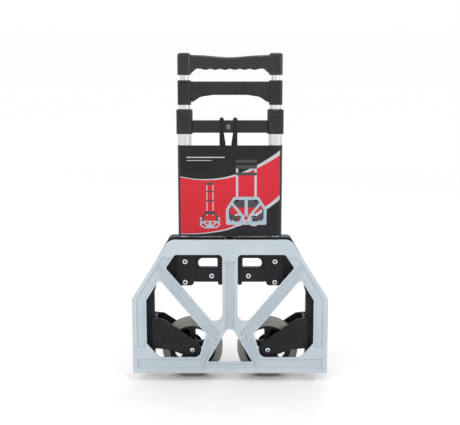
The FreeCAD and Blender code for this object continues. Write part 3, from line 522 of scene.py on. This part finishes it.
def details(plastic, gloss):
    """Small mouldings that the CAD pieces don't carry: a blank badge between the hooks, bosses round the
    axle bolts, ejector marks on the forks and rims on the low collars."""
    foil = Look("badge_foil", None, 0.3, metallic=0.8)
    foil.base(foil.mix(foil.noise(240, 3), colour(104, 107, 112), colour(132, 135, 140)))
    foil.normal(foil.bump(foil.noise(1, 2, foil.stretched(1200, 1200, 30)), 0.1, 0.0001))
    bar_face, margin = -0.010, 0.0025
    x0, x1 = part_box("left_cord_hook")[1].x + margin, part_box("right_cord_hook")[0].x - margin
    raised("blank_badge", [bar(x0, 0.6200, x1, 0.6310, 0.002)], bar_face, 0.0006, foil.material, "frame")
    collar_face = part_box("low_crossbar")[0].y + 0.0008
    for side, sign in SIDES:
        axle_low, axle_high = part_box(side + "_axle")
        x, z = (axle_low.x + axle_high.x) / 2, (axle_low.z + axle_high.z) / 2
        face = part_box(side + "_wheel_fork")[0].y
        raised(side + "_axle_boss", [round_loop(x, z, 0.0150), round_loop(x, z, 0.0092)], face, 0.0012,
               plastic, side + "_arm", 0.0004)
        for i, (out, up) in enumerate(((0.168, 0.097), (0.160, 0.123))):
            raised("%s_fork_mark_%d" % (side, i), [round_loop(sign * out, up, 0.0026, 24)], face + 0.0012,
                   0.0003, plastic, side + "_arm", 0.0001)
        middle = sign * TUBE_X
        raised(side + "_collar_rim", [bar(middle - 0.0118, 0.6185, middle + 0.0118, 0.6565, 0.003),
                                      bar(middle - 0.0106, 0.6197, middle + 0.0106, 0.6553, 0.002)],
               collar_face, 0.0006, gloss, "frame", 0.0002)


# ---------------------------------------------------------------- put the materials on the CAD pieces
def dress():
    """Gives each CAD piece the material of its slot, or one of its own."""
    plastic = black_plastic("black_plastic", colour(8, 9, 16), 0.42, 0.58, 0.22, specular_ior_level=0.3)
    gloss = black_plastic("handle_plastic", colour(8, 8, 15), 0.20, 0.34, 0.08, specular_ior_level=0.4,
                          coat_weight=0.4, coat_roughness=0.12)
    satin = black_plastic("crossbar_plastic", colour(9, 9, 16), 0.26, 0.38, 0.12, specular_ior_level=0.35,
                          coat_weight=0.25, coat_roughness=0.14)
    metal, plated, washer, coat = tube_aluminium(), zinc("zinc"), nylon(), toe_coat()
    special = {"low_crossbar": satin, "high_crossbar": satin}
    for side, _ in SIDES:
        special[side + "_tyre"] = tyre_rubber(side)
        special[side + "_bracket_screws"] = zinc(side + "_screw_zinc", SCREW_SOCKET_Y)
        special[side + "_axle"] = zinc(side + "_bolt_zinc", BOLT_SOCKET_Y)
    by_slot = {"black_plastic": plastic, "handle_plastic": gloss, "nylon": washer, "zinc": plated,
               "tube_aluminium": metal, "toe_finish": coat, "card": card_print(), "cord": cord_weave()}
    for part in frame["record"]["subparts"]:
        node, slot = part["node"], part["material_slot"]
        material = special.get(node) or by_slot[slot]
        mesh = frame["nodes"][node].data
        mesh.materials.clear()
        mesh.materials.append(material)
    details(plastic, gloss)


# ---------------------------------------------------------------- floor, lights and camera
HORIZON, ZENITH = 0.985, 1.30    # strength of the studio's pale surround at eye level and straight up


def floor():
    """A pale floor, wide enough to reach the horizon, with painted shade that makes it darker near the truck
    and paler far off.
    """
    size = 60.0
    mesh = bpy.data.meshes.new("floor")
    corners = [(-size, -size, 0), (size, -size, 0), (size, size, 0), (-size, size, 0)]
    mesh.from_pydata(corners, [], [(0, 1, 2, 3)])
    made = bpy.data.objects.new("floor", mesh)
    bpy.context.scene.collection.objects.link(made)
    look = Look("floor_paper", None, 0.9, specular_ior_level=0.0)
    distance = look.node("VectorMath", {0: look.place}, operation="LENGTH").outputs["Value"]
    # painted shade: the floor's colour darkens towards the truck and lightens towards the horizon
    shaded_paper = look.mix(look.fit(distance, 0.6, 6.0), colour(229, 227, 229), colour(237, 236, 237))
    look.base(look.mix(look.math("MULTIPLY", look.noise(3, 2), 0.1), shaded_paper, colour(232, 231, 232)))
    mesh.materials.append(look.material)


def area_light(name, place, target, size, power):
    """A round softbox at place, size metres across, that faces target."""
    data = bpy.data.lights.new(name, "AREA")
    data.shape = "DISK"
    data.size = size
    data.energy = power
    made = bpy.data.objects.new(name, data)
    bpy.context.scene.collection.objects.link(made)
    made.location = place
    made.rotation_euler = (Vector(target) - Vector(place)).to_track_quat("-Z", "Y").to_euler()


def lights():
    """A pale surround that brightens upwards, and four softboxes."""
    world = bpy.data.worlds.new("studio")
    bpy.context.scene.world = world
    world.use_nodes = True
    tree = world.node_tree
    background = tree.nodes["Background"]
    up = tree.nodes.new("ShaderNodeSeparateXYZ")
    tree.links.new(tree.nodes.new("ShaderNodeTexCoord").outputs["Generated"], up.inputs[0])
    level = tree.nodes.new("ShaderNodeMapRange")
    tree.links.new(up.outputs[2], level.inputs[0])
    level.inputs["To Min"].default_value = HORIZON
    level.inputs["To Max"].default_value = ZENITH
    tree.links.new(level.outputs[0], background.inputs["Strength"])
    background.inputs["Color"].default_value = (1, 0.995, 1, 1)
    area_light("key", (-1.7, -2.2, 1.8), (0, 0, 0.45), 0.60, 14.5)
    area_light("fill", (2.3, -1.5, 1.0), (0, 0, 0.5), 0.45, 8)
    area_light("top", (0.2, -0.6, 3.2), (0, 0, 0.5), 0.50, 8.5)
    area_light("rear", (0.8, 2.4, 2.0), (0, 0, 0.5), 0.60, 10)
    bpy.context.scene.view_settings.view_transform = "Standard"


def camera():
    """In front of the truck and a little above it."""
    aim, distance, pitch = Vector((0, 0, 0.416)), 2.0, math.radians(9.7)
    data = bpy.data.cameras.new("camera")
    data.sensor_fit = "HORIZONTAL"
    data.sensor_width = 36.0
    data.lens = 63.9
    made = bpy.data.objects.new("camera", data)
    bpy.context.scene.collection.objects.link(made)
    made.location = aim + Vector((0, -math.cos(pitch), math.sin(pitch))) * distance
    made.rotation_euler = (aim - made.location).to_track_quat("-Z", "Y").to_euler()
    bpy.context.scene.camera = made


camera()
dress()
card_art()
floor()
lights()
